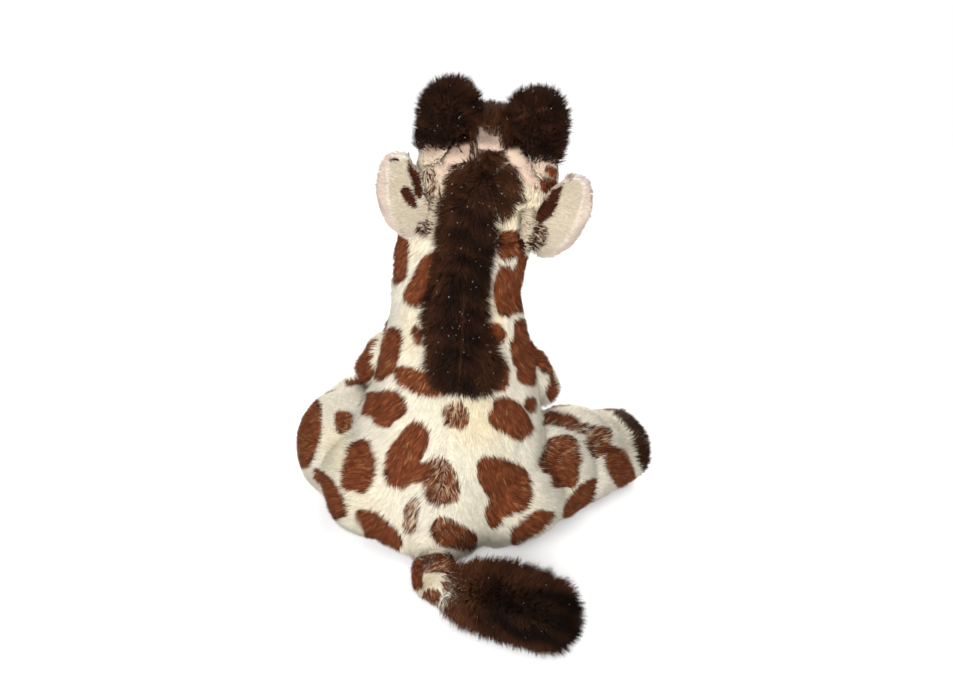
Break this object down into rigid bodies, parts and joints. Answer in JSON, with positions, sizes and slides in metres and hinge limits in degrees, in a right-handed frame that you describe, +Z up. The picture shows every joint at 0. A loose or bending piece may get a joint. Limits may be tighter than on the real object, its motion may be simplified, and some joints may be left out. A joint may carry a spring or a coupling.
{
  "type": "plush giraffe",
  "caption": "Seated stuffed giraffe with a spotted short-pile skin, long dark mane, furry ossicones, cupped ears, swivelling limbs and a tufted tail.",
  "frame": {"origin": "centre of the flat seat panel, on the plane that the toy sits on", "axes": "+Z up, -Y the way the face looks, +X the giraffe's own left"},
  "size_m": [0.1447, 0.1569, 0.1899],
  "materials": {
    "spotted_plush": "short pile, cream with red-brown spots",
    "cream_plush": "short pile, cream",
    "blush_plush": "short pile, pinkish cream",
    "dark_fur": "long pile, near-black brown",
    "lining_cloth": "fine short pile, pale pink",
    "eye_plastic": "gloss",
    "washer_plastic": "matt",
    "calico": "plain weave bag"
  },
  "bodies": {
    "torso": {"body": "spotted_plush", "seat_panel": "cream_plush", "pellet_bag": "calico", "neck": "spotted_plush", "head": "blush_plush", "muzzle": "cream_plush", "eye_left": "eye_plastic", "eye_right": "eye_plastic", "eye_washer_left": "washer_plastic", "eye_washer_right": "washer_plastic", "ossicone_left": "dark_fur", "ossicone_right": "dark_fur", "mane": "dark_fur"},
    "left_ear": {"ear_outer_left": "spotted_plush", "ear_lining_left": "lining_cloth"},
    "right_ear": {"ear_outer_right": "spotted_plush", "ear_lining_right": "lining_cloth"},
    "left_foreleg": {"foreleg_left": "spotted_plush", "fore_hoof_left": "dark_fur"},
    "right_foreleg": {"foreleg_right": "spotted_plush", "fore_hoof_right": "dark_fur"},
    "left_hind_leg": {"hind_leg_left": "spotted_plush", "hind_hoof_left": "dark_fur"},
    "right_hind_leg": {"hind_leg_right": "spotted_plush", "hind_hoof_right": "dark_fur"},
    "tufted_tail": {"tail": "spotted_plush", "tail_tuft": "dark_fur"}
  },
  "joints": [
    {"name": "left_ear_fold", "type": "hinge", "parent": "torso", "child": "left_ear", "pos_m": [0.0155, 0.007, 0.142], "axis": [-0.1413, 0, 0.99], "range_deg": [-5, 35], "stiffness_Nm_per_rad": 0.002},
    {"name": "right_ear_fold", "type": "hinge", "parent": "torso", "child": "right_ear", "pos_m": [-0.0195, 0.007, 0.142], "axis": [-0.1413, 0, -0.99], "range_deg": [-5, 35], "stiffness_Nm_per_rad": 0.002},
    {"name": "left_foreleg_raise", "type": "hinge", "parent": "torso", "child": "left_foreleg", "pos_m": [0.027, -0.018, 0.064], "axis": [-1, 0, 0], "range_deg": [0, 55]},
    {"name": "right_foreleg_raise", "type": "hinge", "parent": "torso", "child": "right_foreleg", "pos_m": [-0.027, -0.018, 0.064], "axis": [-1, 0, 0], "range_deg": [0, 55]},
    {"name": "left_hind_leg_splay", "type": "hinge", "parent": "torso", "child": "left_hind_leg", "pos_m": [0.0385, -0.014, 0.0225], "axis": [0, 0, 1], "range_deg": [0, 60]},
    {"name": "right_hind_leg_splay", "type": "hinge", "parent": "torso", "child": "right_hind_leg", "pos_m": [-0.0385, -0.014, 0.0225], "axis": [0, 0, -1], "range_deg": [-53, 7]},
    {"name": "tail_swing", "type": "hinge", "parent": "torso", "child": "tufted_tail", "pos_m": [0, 0.031, 0.0095], "axis": [0, 0, 1], "range_deg": [-20, 20]}
  ]
}
